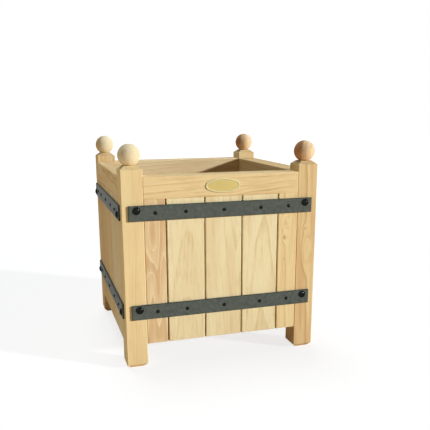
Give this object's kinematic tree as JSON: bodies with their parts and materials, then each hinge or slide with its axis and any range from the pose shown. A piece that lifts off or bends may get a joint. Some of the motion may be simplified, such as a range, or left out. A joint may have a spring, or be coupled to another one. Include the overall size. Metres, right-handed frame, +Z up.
{
  "type": "versailles planter",
  "caption": "Square wooden planter box of upright boards clasped by flat iron straps, with a ball on each corner post and a slatted floor that lifts out.",
  "frame": {"origin": "on the ground, in the middle between the four feet", "axes": "+Z up, the front with the oval plate faces -Y, +X to the right of it"},
  "size_m": [0.56, 0.56, 0.592],
  "materials": {
    "planed_wood": "planed, waxed",
    "inner_wood": "sawn",
    "strap_iron": "satin grey",
    "black_fixings": "gloss black",
    "plated_steel": "zinc plated",
    "plate_brass": "pale satin brass"
  },
  "bodies": {
    "frame": {"front_left_post": "planed_wood", "front_right_post": "planed_wood", "rear_right_post": "planed_wood", "rear_left_post": "planed_wood", "front_left_ball": "planed_wood", "front_right_ball": "planed_wood", "rear_right_ball": "planed_wood", "rear_left_ball": "planed_wood", "front_top_rail": "planed_wood", "right_top_rail": "planed_wood", "rear_top_rail": "planed_wood", "left_top_rail": "planed_wood", "front_bottom_rail": "inner_wood", "right_bottom_rail": "inner_wood", "rear_bottom_rail": "inner_wood", "left_bottom_rail": "inner_wood", "front_board_1": "planed_wood", "front_board_2": "planed_wood", "front_board_3": "planed_wood", "front_board_4": "planed_wood", "front_board_5": "planed_wood", "right_board_1": "planed_wood", "right_board_2": "planed_wood", "right_board_3": "planed_wood", "right_board_4": "planed_wood", "right_board_5": "planed_wood", "rear_board_1": "planed_wood", "rear_board_2": "planed_wood", "rear_board_3": "planed_wood", "rear_board_4": "planed_wood", "rear_board_5": "planed_wood", "left_board_1": "planed_wood", "left_board_2": "planed_wood", "left_board_3": "planed_wood", "left_board_4": "planed_wood", "left_board_5": "planed_wood", "front_lower_strap": "strap_iron", "front_upper_strap": "strap_iron", "right_lower_strap": "strap_iron", "right_upper_strap": "strap_iron", "rear_lower_strap": "strap_iron", "rear_upper_strap": "strap_iron", "left_lower_strap": "strap_iron", "left_upper_strap": "strap_iron", "left_floor_bearer": "inner_wood", "right_floor_bearer": "inner_wood", "finial_screws": "plated_steel", "bolt_washers": "plated_steel", "bolt_nuts": "plated_steel", "panel_screws": "plated_steel", "bearer_screws": "plated_steel", "strap_bolts": "black_fixings", "strap_screws": "black_fixings", "name_plate": "plate_brass"},
    "floor": {"floor_slats": "inner_wood", "left_floor_batten": "inner_wood", "right_floor_batten": "inner_wood", "floor_screws": "plated_steel"}
  },
  "joints": [
    {"name": "floor_lift", "type": "slide", "parent": "frame", "child": "floor", "axis": [0, 0, 1], "range_m": [0, 0.52]}
  ]
}
